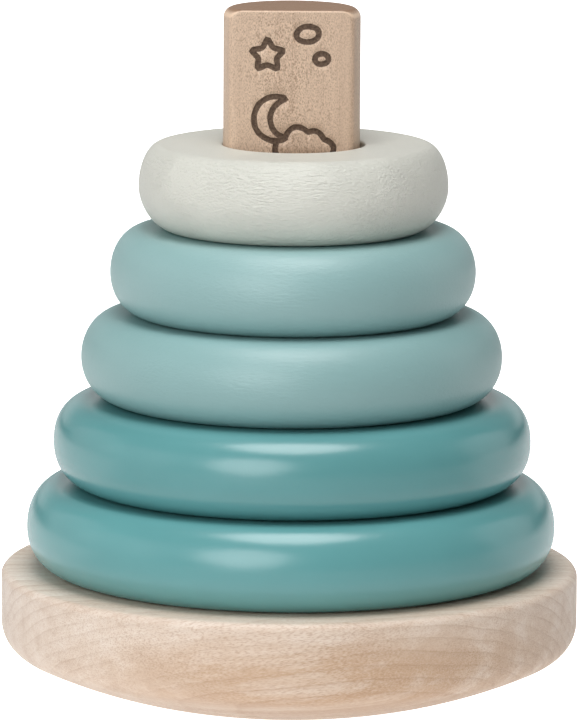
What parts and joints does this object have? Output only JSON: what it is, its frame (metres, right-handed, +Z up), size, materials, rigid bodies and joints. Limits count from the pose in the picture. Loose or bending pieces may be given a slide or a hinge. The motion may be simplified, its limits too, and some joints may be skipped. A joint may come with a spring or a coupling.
{
  "type": "stacking ring toy",
  "caption": "Wooden stacking toy: painted bull-nosed rings of falling size lift off a flatted round post fixed in a turned base with a crowned rocking underside.",
  "frame": {"origin": "middle of the small flat under the base, which is the bottom centre of the whole toy", "axes": "+Z up along the post; -Y is the front, which the post's flat faces"},
  "size_m": [0.13, 0.13, 0.1573],
  "materials": {
    "base_wood": "pale hardwood, side grain, sanded, clear matt",
    "post_wood": "pale pinkish hardwood, upright grain, sanded, clear matt",
    "post_mark": "line work burnt into the wood, dark brown, matt",
    "screw_steel": "bright zinc",
    "plug_wood": "end-grain hardwood, sanded, clear matt",
    "ring_1_paint": "deep teal lacquer on wood, gloss",
    "ring_2_paint": "deep teal lacquer on wood, gloss",
    "ring_3_paint": "pale blue-green lacquer on wood, satin",
    "ring_4_paint": "pale blue-green lacquer on wood, satin",
    "ring_5_paint": "warm off-white paint on wood, eggshell"
  },
  "bodies": {
    "base_body": {"base": "base_wood", "post": "post_wood", "post_screw": "screw_steel", "screw_plug": "plug_wood"},
    "ring_1_body": {"ring_1": "ring_1_paint"},
    "ring_2_body": {"ring_2": "ring_2_paint"},
    "ring_3_body": {"ring_3": "ring_3_paint"},
    "ring_4_body": {"ring_4": "ring_4_paint"},
    "ring_5_body": {"ring_5": "ring_5_paint"}
  },
  "joints": [
    {"name": "lift_ring_1", "type": "slide", "parent": "base_body", "child": "ring_1_body", "axis": [0, 0, 1], "range_m": [0, 0.1307]},
    {"name": "lift_ring_2", "type": "slide", "parent": "ring_1_body", "child": "ring_2_body", "axis": [0, 0, 1], "range_m": [0, 0.1115]},
    {"name": "lift_ring_3", "type": "slide", "parent": "ring_2_body", "child": "ring_3_body", "axis": [0, 0, 1], "range_m": [0, 0.0923]},
    {"name": "lift_ring_4", "type": "slide", "parent": "ring_3_body", "child": "ring_4_body", "axis": [0, 0, 1], "range_m": [0, 0.073]},
    {"name": "lift_ring_5", "type": "slide", "parent": "ring_4_body", "child": "ring_5_body", "axis": [0, 0, 1], "range_m": [0, 0.0538]}
  ]
}
